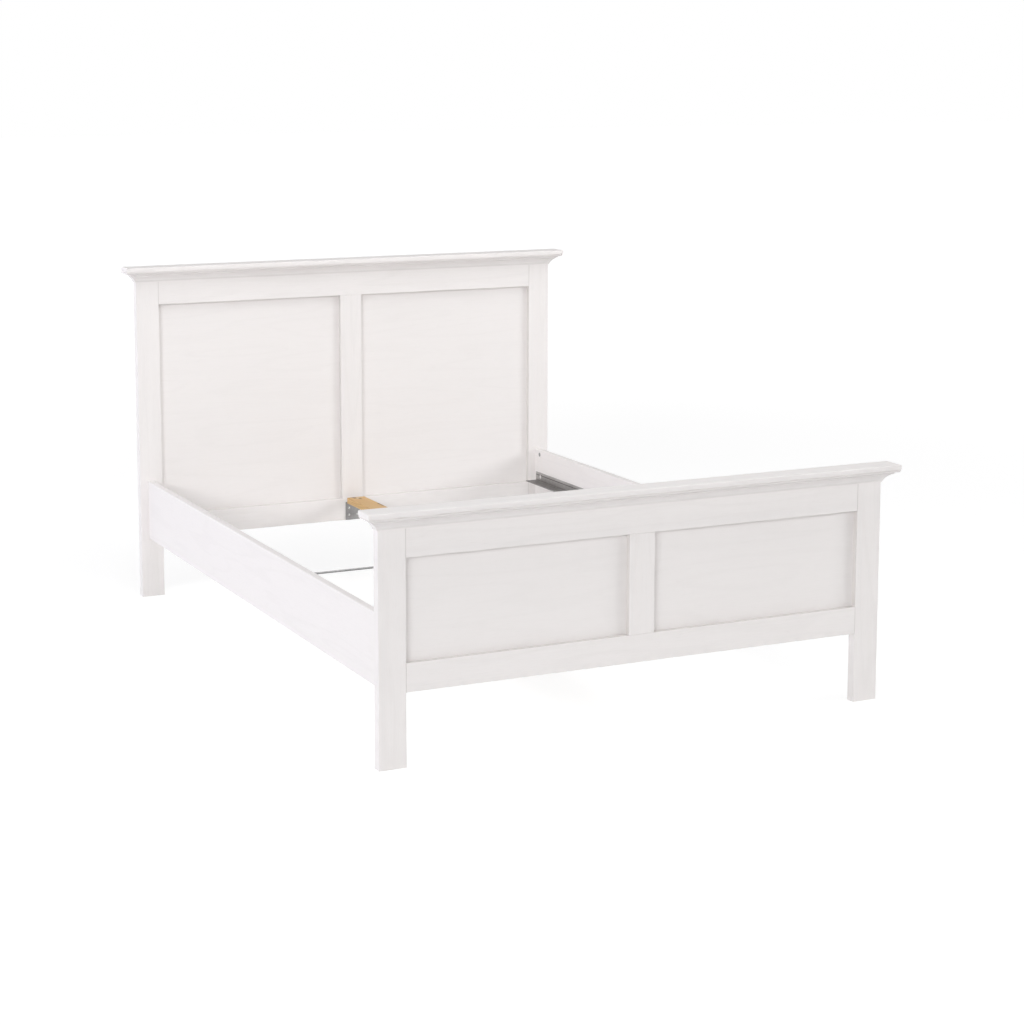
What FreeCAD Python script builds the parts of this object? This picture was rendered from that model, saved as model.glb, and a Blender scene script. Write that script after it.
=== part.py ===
import FreeCAD, Part
import math
import os

# Double bed frame. A panelled headboard and a lower footboard, each with a moulded crown, are joined
# by two side rails. The rails carry steel ledges, and a timber beam with a leg runs down the middle.
# Millimetres, +Z up, X across the bed, headboard at +Y. The origin is on the floor, mid footprint.

Vector = FreeCAD.Vector

# Mattress that the frame is made for, and the room round it
mattress_width = 1400.0
mattress_length = 2000.0
mattress_side_gap = 5.0
mattress_end_gap = 5.0

# Heights above the floor, and how far the ledges lie above the rails' lower edge
headboard_height = 1102.0
footboard_height = 671.0
underbed_height = 196.0
ledge_rise = 84.0

# Posts, rails and stiles of both end frames
post_width = 76.0
stile_width = 76.0
frame_depth = 29.0
bottom_rail_height = 76.0
frieze_height = 76.0
frame_edge_radius = 1.2

# Loose panels in grooves, set back from the front
panel_thickness = 5.0
panel_recess = 17.0
panel_back_gap = 0.3
groove_depth = 9.0
groove_end_gap = 0.8

# Crown: a board with a rounded underside over a cove moulding
crown_overhang = 40.0
crown_thickness = 22.0
crown_top_radius = 3.0
crown_under_radius = 9.0
cove_height = 29.0
cove_projection = 26.0
cove_band_height = 4.0
cove_band_step = 1.5
cove_lip = 3.0
cove_lip_height = 3.0
cove_sag = 2.5

# Side rails
side_rail_thickness = 22.0
side_rail_height = 194.0
side_rail_inset = 27.0
side_rail_edge_radius = 2.5

# Clearance round everything that sits in a hole or mortise, and past its far end
fit_gap = 0.1
fit_end_gap = 0.8

# Fixings are drawn as prisms with this many sides, to keep the model light
fixing_sides = 8
cam_sides = 24
nut_sides = 6

# Tenons of the cross rails in the posts, and of the posts in the crown board
tenon_thickness = 10.0
tenon_length = 24.0
tenon_shoulder = 6.0
crown_tenon_width = 40.0
crown_tenon_height = 12.0

# Timber dowels between side rails and posts
dowel_radius = 4.0
dowel_length = 36.0
dowel_height_shares = (0.36, 0.64)

# Cam locks that draw the side rails to the posts
cam_radius = 7.4
cam_length = 15.0
cam_end_distance = 34.0
cam_edge_distance = 16.0
cam_slot_length = 9.0
cam_slot_width = 1.6
cam_slot_depth = 2.4
cam_bolt_radius = 3.5
cam_bolt_neck_radius = 2.2
cam_bolt_neck_length = 5.0
cam_bolt_head_length = 3.0
cam_bolt_thread_radius = 3.0
cam_bolt_thread_length = 20.0

# Steel ledges, angles screwed to the rails' inner faces
ledge_width = 42.0
ledge_upstand = 30.0
ledge_thickness = 2.5
ledge_bend_radius = 2.0
ledge_end_gap = 12.0
ledge_hole_radius = 8.0
ledge_hole_end_distance = 31.0
ledge_rib_radius = 2.0
ledge_rib_drop = 6.0
ledge_rib_end_distance = 55.0
ledge_screw_count = 6
ledge_screw_end_distance = 120.0
ledge_screw_rise = 12.0

# Pan-headed wood screws for the ledges and brackets
screw_head_radius = 4.0
screw_head_height = 2.2
screw_shank_radius = 2.0
screw_length = 16.0

# Middle beam and the angle brackets under its ends
beam_width = 64.0
beam_thickness = 20.0
beam_end_gap = 31.0
beam_edge_radius = 2.0
bracket_width = 52.0
bracket_thickness = 3.0
bracket_reach = 75.0
bracket_bend_radius = 2.0
bracket_screw_side_share = 0.29
bracket_screw_height_shares = (0.28, 0.66)
beam_bolt_end_distance = 18.0
beam_bolt_radius = 3.0
beam_bolt_head_radius = 6.0
beam_bolt_head_height = 3.0
beam_bolt_proud = 2.0
beam_nut_flat_width = 10.0
beam_nut_height = 5.0

# Tie rod across the middle, through the beam and into the rails, with a nut against each rail
rod_radius = 3.5
rod_gap = 0.3
rod_end_depth = 14.0
rod_nut_flat_width = 11.0
rod_nut_height = 5.5
thread_gap = 0.05

# Leg under the middle of the beam
leg_width = 45.0
leg_edge_radius = 3.0
leg_screw_length = 60.0
leg_screw_radius = 2.4
leg_screw_head_radius = 4.6
leg_screw_head_height = 3.0
leg_screw_place_share = 0.31
glide_height = 4.0
glide_radius = 15.0
glide_pin_radius = 1.6
glide_pin_length = 14.0

# Places worked out from the sizes above
inside_width = mattress_width + 2 * mattress_side_gap
inside_length = mattress_length + 2 * mattress_end_gap
frame_width = inside_width + 2 * (side_rail_thickness + side_rail_inset)
total_length = crown_overhang + inside_length + 2 * frame_depth
foot_front = crown_overhang - total_length / 2
foot_back = foot_front + frame_depth
head_front = foot_back + inside_length
middle_y = (foot_back + head_front) / 2
rail_inner_x = inside_width / 2
rail_middle_x = rail_inner_x + side_rail_thickness / 2
opening_half_width = frame_width / 2 - post_width
bottom_rail_top = underbed_height + bottom_rail_height
side_rail_top = underbed_height + side_rail_height
ledge_top = underbed_height + ledge_rise
beam_underside = ledge_top - beam_thickness
beam_middle_z = ledge_top - beam_thickness / 2
cam_heights = (underbed_height + cam_edge_distance, side_rail_top - cam_edge_distance)

# How near two lengths lie that count as the same when edges are picked
same_length = 0.001

# The sides and ends of the bed: the way from the middle, and from an end frame to the mattress
SIDES = {"left": -1, "right": 1}
ENDS = {"footboard": (foot_back, 1), "headboard": (head_front, -1)}
UP = Vector(0, 0, 1)


def box(x_pair, y_pair, z_pair):
    """Box between two values on each axis, given in either order."""
    pairs = (x_pair, y_pair, z_pair)
    spans = [max(pair) - min(pair) for pair in pairs]
    return Part.makeBox(*spans, Vector(*[min(pair) for pair in pairs]))


def centred(middle, width):
    """Two values that lie half a width either side of a middle."""
    return middle - width / 2, middle + width / 2


def prism(radius, z_low, z_high, sides=fixing_sides):
    """Upright prism round the Z axis, with its corners on a radius."""
    corners = []
    for number in range(sides + 1):
        turn = math.tau * number / sides
        corners.append(Vector(radius * math.cos(turn), radius * math.sin(turn), z_low))
    return Part.Face(Part.makePolygon(corners)).extrude(UP * (z_high - z_low))


def placed(shape, point, outward):
    """Copy of a shape with its origin at a point and its Z axis turned outward."""
    copy = shape.copy()
    copy.Placement = FreeCAD.Placement(point, FreeCAD.Rotation(UP, outward))
    return copy


def edges_in_plane(shape, axis, value):
    """Edges whose ends lie where the coordinate x, y or z has the value."""
    found = []
    for edge in shape.Edges:
        if all(abs(getattr(vertex.Point, axis) - value) < same_length for vertex in edge.Vertexes):
            found.append(edge)
    return found


def edges_along(shape, axis):
    """Straight edges that run along x, y or z."""
    found = []
    for edge in shape.Edges:
        run = edge.Vertexes[-1].Point - edge.Vertexes[0].Point
        if abs(abs(getattr(run, axis)) - run.Length) < same_length:
            found.append(edge)
    return found


def save(node, shapes):
    """Writes one node: a solid, or a list of separate solids."""
    shape = Part.makeCompound(shapes) if isinstance(shapes, list) else shapes
    shape.exportStep("parts/" + node + ".step")


def pin(radius, depth, start, direction, sides=fixing_sides):
    """Prism of one radius that runs a depth from a point along a direction."""
    return placed(prism(radius, 0, depth, sides), start, direction)


def nut(flat_width, height, bore):
    """Hexagon nut that stands on the origin, cut by its bore."""
    corner_radius = flat_width / 2 / math.cos(math.pi / nut_sides)
    return prism(corner_radius, 0, height, nut_sides).cut(bore)


def headed(head_radius, head_height, shank_radius, length, gap):
    """Fixing with its head's top on the origin and its shank down, or the cutter for it."""
    head = prism(head_radius + gap, -head_height, 0)
    return head.fuse(prism(shank_radius + gap, -length, -head_height))


def wood_screw():
    """Screw with its head standing on the origin and its shank down."""
    return prism(screw_head_radius, 0, screw_head_height).fuse(prism(screw_shank_radius, -screw_length, 0))


def screw_hole(seat, outward):
    """Cutter for a wood screw's shank, from its seat inward."""
    return pin(screw_shank_radius + fit_gap, screw_length + fit_end_gap, seat, outward * -1)


def lines(points):
    """Straight edges from each point to the next."""
    return [Part.makeLine(start, end) for start, end in zip(points, points[1:])]


def face_in(edges):
    """Flat face inside a closed ring of edges."""
    return Part.Face(Part.Wire(Part.sortEdges(edges)[0]))


def angle_section(upstand, width, thickness, bend_radius, place):
    """Face across a bent steel angle. The place function turns (out, up) into a point."""
    outer_radius = bend_radius + thickness
    outer_middle = outer_radius * (1 - math.sqrt(1 / 2))
    inner_middle = outer_radius - bend_radius * math.sqrt(1 / 2)
    upright = [
        place(0, outer_radius),
        place(0, upstand),
        place(thickness, upstand),
        place(thickness, outer_radius),
    ]
    level = [
        place(outer_radius, thickness),
        place(width, thickness),
        place(width, 0),
        place(outer_radius, 0),
    ]
    inner_bend = Part.Arc(upright[-1], place(inner_middle, inner_middle), level[0])
    outer_bend = Part.Arc(level[-1], place(outer_middle, outer_middle), upright[0])
    return face_in(lines(upright) + [inner_bend.toShape()] + lines(level) + [outer_bend.toShape()])


# End frames: posts, rails, stile and panels


def groove_pair(y_front):
    """Front and back of the panel groove."""
    front = y_front + panel_recess
    return front, front + panel_thickness + panel_back_gap


def frame_board(x_pair, y_front, z_pair):
    """Board of an end frame with softened front edges."""
    board = box(x_pair, (y_front, y_front + frame_depth), z_pair)
    return board.makeFillet(frame_edge_radius, edges_in_plane(board, "y", y_front))


def top_rail_bottom(height):
    """Lower edge of the frieze rail under the crown."""
    return height - crown_thickness - cove_height - frieze_height


def tenon_spans(height):
    """Heights between which the tenons of the bottom rail and of the top rail lie."""
    bottom = (underbed_height + tenon_shoulder, bottom_rail_top - groove_depth - tenon_shoulder)
    top_low = top_rail_bottom(height) + groove_depth + tenon_shoulder
    return bottom, (top_low, height - crown_thickness - tenon_shoulder)


def tenon(y_front, side, z_pair, gap, end_gap):
    """Tenon of a cross rail at one post, or with gaps the mortise for it."""
    x_joint = side * opening_half_width
    return box(
        (x_joint, x_joint + side * (tenon_length + end_gap)),
        centred(y_front + frame_depth / 2, tenon_thickness + 2 * gap),
        (z_pair[0] - gap, z_pair[1] + gap),
    )


def crown_tenon(y_front, height, side, gap, end_gap):
    """Tenon of a post in the crown board, or with gaps the mortise for it."""
    z_joint = height - crown_thickness
    return box(
        centred(side * (opening_half_width + post_width / 2), crown_tenon_width + 2 * gap),
        centred(y_front + frame_depth / 2, tenon_thickness + 2 * gap),
        (z_joint, z_joint + crown_tenon_height + end_gap),
    )


def dowel_places(side, end):
    """Points where the dowels of a side rail cross its joint."""
    y_face = ENDS[end][0]
    heights = [underbed_height + share * side_rail_height for share in dowel_height_shares]
    return [Vector(side * rail_middle_x, y_face, z) for z in heights]


def rail_joint_cutters(side, end):
    """Cutters where a side rail meets a post: cam bolts and dowels, on both sides of the joint."""
    y_face, inward = ENDS[end]
    into_rail = Vector(0, inward, 0)
    cutters = []
    for z in cam_heights:
        middle = Vector(side * rail_middle_x, y_face, z)
        thread_depth = cam_bolt_thread_length + fit_end_gap
        cutters.append(pin(cam_bolt_thread_radius + fit_gap, thread_depth, middle, into_rail * -1))
        cutters.append(pin(cam_bolt_radius + fit_gap, cam_end_distance, middle, into_rail))
    for middle in dowel_places(side, end):
        for way in (into_rail, into_rail * -1):
            cutters.append(pin(dowel_radius + fit_gap, dowel_length / 2 + fit_end_gap, middle, way))
    return cutters


def post(end, y_front, height, side):
    """Corner post with its panel groove, its mortises, its tenon and the holes for the side rail."""
    x_inner = side * opening_half_width
    body = box(
        (x_inner, side * frame_width / 2),
        (y_front, y_front + frame_depth),
        (0, height - crown_thickness),
    )
    body = body.makeFillet(frame_edge_radius, edges_along(body, "z"))
    groove_z = (bottom_rail_top - groove_depth, top_rail_bottom(height) + groove_depth)
    groove = box((x_inner, x_inner + side * groove_depth), groove_pair(y_front), groove_z)
    mortises = [tenon(y_front, side, z_pair, fit_gap, fit_end_gap) for z_pair in tenon_spans(height)]
    body = body.fuse(crown_tenon(y_front, height, side, 0, 0))
    return body.cut([groove] + mortises + rail_joint_cutters(side, end))


def cross_rail(y_front, z_pair, groove_z, tenon_z):
    """Rail between the posts, with a panel groove and a tenon at both ends."""
    body = frame_board((-opening_half_width, opening_half_width), y_front, z_pair)
    groove = box((-opening_half_width, opening_half_width), groove_pair(y_front), groove_z)
    tenons = [tenon(y_front, side, tenon_z, 0, 0) for side in SIDES.values()]
    return body.cut(groove).fuse(tenons)


def center_stile(y_front, height):
    """Upright between the panels, with stub tongues in the rails' grooves."""
    z_pair = (bottom_rail_top, top_rail_bottom(height))
    body = frame_board(centred(0, stile_width), y_front, z_pair)
    tongue = groove_depth - groove_end_gap
    front = y_front + panel_recess
    tongues = box(
        centred(0, stile_width),
        (front, front + panel_thickness),
        (z_pair[0] - tongue, z_pair[1] + tongue),
    )
    grooves = []
    for side in SIDES.values():
        edge = side * stile_width / 2
        groove_z = (z_pair[0] - groove_depth, z_pair[1] + groove_depth)
        grooves.append(box((edge - side * groove_depth, edge), groove_pair(y_front), groove_z))
    return body.fuse(tongues).removeSplitter().cut(grooves)


def panel(y_front, height, side):
    """Flat panel, held in the grooves of post, stile and rails."""
    tongue = groove_depth - groove_end_gap
    front = y_front + panel_recess
    return box(
        (side * (stile_width / 2 - tongue), side * (opening_half_width + tongue)),
        (front, front + panel_thickness),
        (bottom_rail_top - tongue, top_rail_bottom(height) + tongue),
    )


# Crown of an end frame


def crown_board(y_front, height):
    """Top board: overhangs the front and sides, with a rounded underside edge, flush at the back."""
    y_out = y_front - crown_overhang
    x_out = frame_width / 2 + crown_overhang
    z_under = height - crown_thickness
    body = box((-x_out, x_out), (y_out, y_front + frame_depth), (z_under, height))
    for z, radius in ((z_under, crown_under_radius), (height, crown_top_radius)):
        edges = []
        for edge in edges_in_plane(body, "z", z):
            if abs(edge.CenterOfMass.y - (y_front + frame_depth)) > same_length:
                edges.append(edge)
        body = body.makeFillet(radius, edges)
    mortises = [crown_tenon(y_front, height, side, fit_gap, fit_end_gap) for side in SIDES.values()]
    return body.cut(mortises)


def cove_section(place):
    """Face across the cove moulding. The place function turns (out, up) into a point."""
    arc_start = (cove_lip, cove_lip_height)
    arc_end = (cove_projection - cove_band_step, cove_height - cove_band_height)
    run_out = arc_end[0] - arc_start[0]
    run_up = arc_end[1] - arc_start[1]
    sag_share = cove_sag / math.hypot(run_out, run_up)
    arc_middle = (
        (arc_start[0] + arc_end[0]) / 2 - run_up * sag_share,
        (arc_start[1] + arc_end[1]) / 2 + run_out * sag_share,
    )
    corners = [
        arc_end,
        (cove_projection, cove_height - cove_band_height),
        (cove_projection, cove_height),
        (0, cove_height),
        (0, 0),
        (cove_lip, 0),
        arc_start,
    ]
    points = [place(out, up) for out, up in corners]
    hollow = Part.Arc(points[-1], place(*arc_middle), points[0])
    return face_in(lines(points) + [hollow.toShape()])


def mitre_prism(corners, z_low):
    """Upright prism over a plan outline, as high as the cove."""
    outline = [Vector(x, y, z_low) for x, y in corners + corners[:1]]
    return Part.Face(Part.makePolygon(outline)).extrude(UP * cove_height)


def front_cove(y_front, height):
    """Front length of the cove, mitred at both ends."""
    z_low = height - crown_thickness - cove_height
    x_wall = frame_width / 2
    x_out = x_wall + cove_projection
    y_out = y_front - cove_projection
    section = cove_section(lambda out, up: Vector(-x_out, y_front - out, z_low + up))
    strip = section.extrude(Vector(2 * x_out, 0, 0))
    plan = [(-x_wall, y_front), (x_wall, y_front), (x_out, y_out), (-x_out, y_out)]
    return strip.common(mitre_prism(plan, z_low))


def side_cove(y_front, height, side):
    """Return of the cove along one side, mitred at the front and flush at the back."""
    z_low = height - crown_thickness - cove_height
    x_wall = side * frame_width / 2
    x_out = x_wall + side * cove_projection
    y_out = y_front - cove_projection
    y_back = y_front + frame_depth
    section = cove_section(lambda out, up: Vector(x_wall + side * out, y_out, z_low + up))
    strip = section.extrude(Vector(0, y_back - y_out, 0))
    plan = [(x_wall, y_front), (x_wall, y_back), (x_out, y_back), (x_out, y_out)]
    return strip.common(mitre_prism(plan, z_low))


def make_end_frame(end, y_front, height):
    """All the timber pieces of the headboard or the footboard."""
    top_z = top_rail_bottom(height)
    bottom_tenon, top_tenon = tenon_spans(height)
    bottom_groove = (bottom_rail_top - groove_depth, bottom_rail_top)
    top_groove = (top_z, top_z + groove_depth)
    bottom_rail = cross_rail(y_front, (underbed_height, bottom_rail_top), bottom_groove, bottom_tenon)
    save(end + "_bottom_rail", bottom_rail.cut(bracket_screw_holes(end)))
    save(end + "_top_rail", cross_rail(y_front, (top_z, height - crown_thickness), top_groove, top_tenon))
    save(end + "_center_stile", center_stile(y_front, height))
    save(end + "_top_board", crown_board(y_front, height))
    save(end + "_front_cove", front_cove(y_front, height))
    for name, side in SIDES.items():
        save(end + "_" + name + "_post", post(end, y_front, height, side))
        save(end + "_" + name + "_panel", panel(y_front, height, side))
        save(end + "_" + name + "_cove", side_cove(y_front, height, side))


# Side rails and what joins them to the posts


def side_rail(side):
    """Side rail with softened long edges and the holes for its fixings."""
    x_inner = side * rail_inner_x
    body = box(
        (x_inner, x_inner + side * side_rail_thickness),
        (foot_back, head_front),
        (underbed_height, side_rail_top),
    )
    body = body.makeFillet(side_rail_edge_radius, edges_along(body, "y"))
    outward = Vector(side, 0, 0)
    cutters = []
    for end, (y_face, inward) in ENDS.items():
        cutters += rail_joint_cutters(side, end)
        for z in cam_heights:
            start = Vector(x_inner, y_face + inward * cam_end_distance, z)
            depth = cam_length + fit_end_gap
            cutters.append(pin(cam_radius + fit_gap, depth, start, outward, cam_sides))
    cutters += [screw_hole(seat, outward * -1) for seat in ledge_screw_seats(side)]
    start = Vector(x_inner, middle_y, beam_middle_z)
    cutters.append(Part.makeCylinder(rod_radius + fit_gap, rod_end_depth + fit_end_gap, start, outward))
    return body.cut(cutters)


def cam(side, end, z):
    """Cam of one rail fixing: a drum with a cross slot and a pocket for the bolt's head."""
    y_face, inward = ENDS[end]
    x_face = side * rail_inner_x
    y = y_face + inward * cam_end_distance
    drum = pin(cam_radius, cam_length, Vector(x_face, y, z), Vector(side, 0, 0), cam_sides)
    slot_x = (x_face, x_face + side * cam_slot_depth)
    flat_slot = box(slot_x, centred(y, cam_slot_length), centred(z, cam_slot_width))
    upright_slot = box(slot_x, centred(y, cam_slot_width), centred(z, cam_slot_length))
    pocket_width = 2 * (cam_bolt_radius + fit_gap)
    pocket_y = (y - inward * cam_radius, y + inward * cam_bolt_head_length)
    pocket_x = centred(side * rail_middle_x, pocket_width)
    pocket = box(pocket_x, pocket_y, centred(z, pocket_width))
    return drum.cut([flat_slot, upright_slot, pocket])


def cam_bolt():
    """Bolt with its post thread down from the origin and its shank, neck and head up into the cam."""
    top = cam_end_distance + cam_bolt_head_length / 2
    neck_top = top - cam_bolt_head_length
    neck_bottom = neck_top - cam_bolt_neck_length
    thread = prism(cam_bolt_thread_radius, -cam_bolt_thread_length, 0)
    shank = prism(cam_bolt_radius, 0, neck_bottom)
    neck = prism(cam_bolt_neck_radius, neck_bottom, neck_top)
    return thread.fuse([shank, neck, prism(cam_bolt_radius, neck_top, top)])


def make_rail_fixings():
    """Cams, cam bolts and dowels at the four rail ends."""
    cams = []
    bolts = []
    dowels = []
    bolt = cam_bolt()
    for side in SIDES.values():
        for end, (y_face, inward) in ENDS.items():
            into_rail = Vector(0, inward, 0)
            for z in cam_heights:
                cams.append(cam(side, end, z))
                bolts.append(placed(bolt, Vector(side * rail_middle_x, y_face, z), into_rail))
            for middle in dowel_places(side, end):
                start = middle - into_rail * (dowel_length / 2)
                dowels.append(pin(dowel_radius, dowel_length, start, into_rail))
    save("rail_cams", cams)
    save("rail_cam_bolts", bolts)
    save("rail_dowels", dowels)


# Steel ledges


def ledge_screw_seats(side):
    """Seats of the ledge's screws, on the flange's inner surface."""
    first = foot_back + ledge_end_gap + ledge_screw_end_distance
    last = head_front - ledge_end_gap - ledge_screw_end_distance
    step = (last - first) / (ledge_screw_count - 1)
    x = side * (rail_inner_x - ledge_thickness)
    z = ledge_top + ledge_screw_rise
    return [Vector(x, first + number * step, z) for number in range(ledge_screw_count)]


def slat_ledge(side):
    """Angle with a pressed rib, a large hole near each end and screw holes between."""
    y_low = foot_back + ledge_end_gap
    y_high = head_front - ledge_end_gap
    z_low = ledge_top - ledge_thickness
    x_face = side * rail_inner_x
    section = angle_section(
        ledge_upstand + ledge_thickness,
        ledge_width,
        ledge_thickness,
        ledge_bend_radius,
        lambda out, up: Vector(x_face - side * out, y_low, z_low + up),
    )
    body = section.extrude(Vector(0, y_high - y_low, 0))
    x_flange = x_face - side * ledge_thickness
    rib_start = Vector(x_flange, y_low + ledge_rib_end_distance, ledge_top + ledge_upstand - ledge_rib_drop)
    rib_length = y_high - y_low - 2 * ledge_rib_end_distance
    rib = Part.makeCylinder(ledge_rib_radius, rib_length, rib_start, Vector(0, 1, 0))
    outward = Vector(side, 0, 0)
    cutters = []
    for y in (y_low + ledge_hole_end_distance, y_high - ledge_hole_end_distance):
        start = Vector(x_flange, y, ledge_top + ledge_upstand / 2)
        cutters.append(Part.makeCylinder(ledge_hole_radius, ledge_thickness, start, outward))
    cutters += [screw_hole(seat, outward * -1) for seat in ledge_screw_seats(side)]
    return body.fuse(rib).removeSplitter().cut(cutters)


def make_ledges():
    """Both ledges and their screws."""
    screw = wood_screw()
    screws = []
    for name, side in SIDES.items():
        save(name + "_slat_ledge", slat_ledge(side))
        inward = Vector(-side, 0, 0)
        screws += [placed(screw, seat, inward) for seat in ledge_screw_seats(side)]
    save("ledge_screws", screws)


# Middle beam, its brackets and its leg


def bracket_screw_seats(end):
    """Seats of a bracket's screws, on its plate's surface."""
    y_face, inward = ENDS[end]
    y = y_face + inward * bracket_thickness
    span = beam_underside - underbed_height
    seats = []
    for side in SIDES.values():
        for share in bracket_screw_height_shares:
            x = side * bracket_width * bracket_screw_side_share
            seats.append(Vector(x, y, underbed_height + share * span))
    return seats


def bracket_screw_holes(end):
    """Cutters for a bracket's screws."""
    outward = Vector(0, ENDS[end][1], 0)
    return [screw_hole(seat, outward) for seat in bracket_screw_seats(end)]


def beam_bolt_seat(end):
    """Middle of a beam bolt's head, on the beam's upper face."""
    y_face, inward = ENDS[end]
    return Vector(0, y_face + inward * (beam_end_gap + beam_bolt_end_distance), ledge_top)


def beam_bolt(gap):
    """Flush-headed bolt with its head's top on the origin, or with a gap the cutter for it."""
    length = beam_thickness + bracket_thickness + beam_nut_height + beam_bolt_proud
    return headed(beam_bolt_head_radius, beam_bolt_head_height, beam_bolt_radius, length, gap)


def beam_bracket(end):
    """Angle with its plate on the bottom rail and its shelf under the beam's end."""
    y_face, inward = ENDS[end]
    section = angle_section(
        beam_underside - underbed_height,
        bracket_reach,
        bracket_thickness,
        bracket_bend_radius,
        lambda out, up: Vector(-bracket_width / 2, y_face + inward * out, beam_underside - up),
    )
    body = section.extrude(Vector(bracket_width, 0, 0))
    bolt_cutter = placed(beam_bolt(fit_gap), beam_bolt_seat(end), UP)
    return body.cut(bracket_screw_holes(end) + [bolt_cutter])


def leg_screw(gap):
    """Flush-headed screw with its head's top on the origin, or with a gap the cutter for it."""
    return headed(leg_screw_head_radius, leg_screw_head_height, leg_screw_radius, leg_screw_length, gap)


def leg_screw_seats():
    """Middles of the leg screws' heads, either side of the tie rod."""
    offset = leg_width * leg_screw_place_share
    return [Vector(0, middle_y + way * offset, ledge_top) for way in SIDES.values()]


def center_beam():
    """Flat timber beam with its bolt holes, screw holes and the passage for the tie rod."""
    body = box(
        centred(0, beam_width),
        (foot_back + beam_end_gap, head_front - beam_end_gap),
        (beam_underside, ledge_top),
    )
    body = body.makeFillet(beam_edge_radius, edges_along(body, "y"))
    cutters = [placed(beam_bolt(fit_gap), beam_bolt_seat(end), UP) for end in ENDS]
    cutters += [placed(leg_screw(fit_gap), seat, UP) for seat in leg_screw_seats()]
    passage_start = Vector(-beam_width / 2, middle_y, beam_middle_z)
    cutters.append(Part.makeCylinder(rod_radius + rod_gap, beam_width, passage_start, Vector(1, 0, 0)))
    return body.cut(cutters)


def glide_pin(gap):
    """Pin of the leg's glide, or with a gap the cutter for it."""
    top = glide_height + glide_pin_length + gap
    return placed(prism(glide_pin_radius + gap, glide_height, top), Vector(0, middle_y, 0), UP)


def center_leg_glide():
    """Round glide under the leg, with a pin up into it."""
    return Part.makeCylinder(glide_radius, glide_height, Vector(0, middle_y, 0)).fuse(glide_pin(0))


def center_leg():
    """Square leg with softened corners, between the glide and the beam."""
    body = box(
        centred(0, leg_width),
        centred(middle_y, leg_width),
        (glide_height, beam_underside),
    )
    body = body.makeFillet(leg_edge_radius, edges_along(body, "z"))
    cutters = [placed(leg_screw(fit_gap), seat, UP) for seat in leg_screw_seats()]
    return body.cut(cutters + [glide_pin(fit_gap)])


def make_beam():
    """Beam, brackets, leg and their fasteners."""
    screw = wood_screw()
    screws = []
    bolts = []
    nuts = []
    bore = prism(beam_bolt_radius + thread_gap, 0, beam_nut_height)
    beam_nut = nut(beam_nut_flat_width, beam_nut_height, bore)
    for end, (y_face, inward) in ENDS.items():
        save(end + "_beam_bracket", beam_bracket(end))
        screws += [placed(screw, seat, Vector(0, inward, 0)) for seat in bracket_screw_seats(end)]
        seat = beam_bolt_seat(end)
        bolts.append(placed(beam_bolt(0), seat, UP))
        nut_drop = beam_thickness + bracket_thickness + beam_nut_height
        nuts.append(placed(beam_nut, seat - UP * nut_drop, UP))
    save("bracket_screws", screws)
    save("beam_bolts", bolts)
    save("beam_nuts", nuts)
    save("center_beam", center_beam())
    save("center_leg", center_leg())
    save("center_leg_glide", center_leg_glide())
    save("leg_screws", [placed(leg_screw(0), seat, UP) for seat in leg_screw_seats()])


# Tie rod


def make_tie_rod():
    """Rod with its ends in the rails, and a nut against each rail."""
    half_length = rail_inner_x + rod_end_depth
    start = Vector(-half_length, middle_y, beam_middle_z)
    save("cross_rod", Part.makeCylinder(rod_radius, 2 * half_length, start, Vector(1, 0, 0)))
    bore = Part.makeCylinder(rod_radius + thread_gap, rod_nut_height)
    rod_nut = nut(rod_nut_flat_width, rod_nut_height, bore)
    nuts = []
    for side in SIDES.values():
        face = Vector(side * rail_inner_x, middle_y, beam_middle_z)
        nuts.append(placed(rod_nut, face, Vector(-side, 0, 0)))
    save("rod_nuts", nuts)


def make_bed_frame():
    """Writes every node."""
    os.makedirs("parts", exist_ok=True)
    make_end_frame("footboard", foot_front, footboard_height)
    make_end_frame("headboard", head_front, headboard_height)
    for name, side in SIDES.items():
        save(name + "_side_rail", side_rail(side))
    make_rail_fixings()
    make_ledges()
    make_beam()
    make_tie_rod()


make_bed_frame()
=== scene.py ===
"""Looks of a white double bed frame with panelled ends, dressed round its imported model."""

import logging
import math
from collections.abc import Callable, Mapping, Sequence
from dataclasses import dataclass
from enum import Enum
from functools import cached_property

import bmesh
import bpy
from bmesh.types import BMEdge, BMesh, BMVert
from bpy.types import ID, Material, Mesh, Node, NodeSocket, Object, World
from mathutils import Matrix, Vector


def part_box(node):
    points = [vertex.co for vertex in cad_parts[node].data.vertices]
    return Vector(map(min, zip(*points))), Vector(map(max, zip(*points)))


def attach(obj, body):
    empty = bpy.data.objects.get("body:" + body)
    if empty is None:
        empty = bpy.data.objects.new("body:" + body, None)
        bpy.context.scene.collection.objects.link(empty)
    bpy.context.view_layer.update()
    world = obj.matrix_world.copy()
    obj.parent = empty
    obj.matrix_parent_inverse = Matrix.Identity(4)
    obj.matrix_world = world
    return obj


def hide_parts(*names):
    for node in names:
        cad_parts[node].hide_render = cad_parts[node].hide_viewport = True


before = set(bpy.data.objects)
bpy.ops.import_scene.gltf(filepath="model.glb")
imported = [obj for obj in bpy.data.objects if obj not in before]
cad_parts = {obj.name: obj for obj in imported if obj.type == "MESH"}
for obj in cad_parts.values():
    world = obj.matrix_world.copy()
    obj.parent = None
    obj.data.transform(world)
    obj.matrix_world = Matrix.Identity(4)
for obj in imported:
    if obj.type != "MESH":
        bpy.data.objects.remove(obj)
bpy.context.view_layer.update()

BODY = "root"
ENDS = ("headboard", "footboard")
SIDES = ("left", "right")
MM = 0.001
FULL_TURN = math.tau
HEX_SIDES = 6
TURNING_STEPS = 24
SLIM_TURNING_STEPS = 16
FLUTED_TURNING_STEPS = 32
MERGE_DISTANCE = 1e-5
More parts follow.
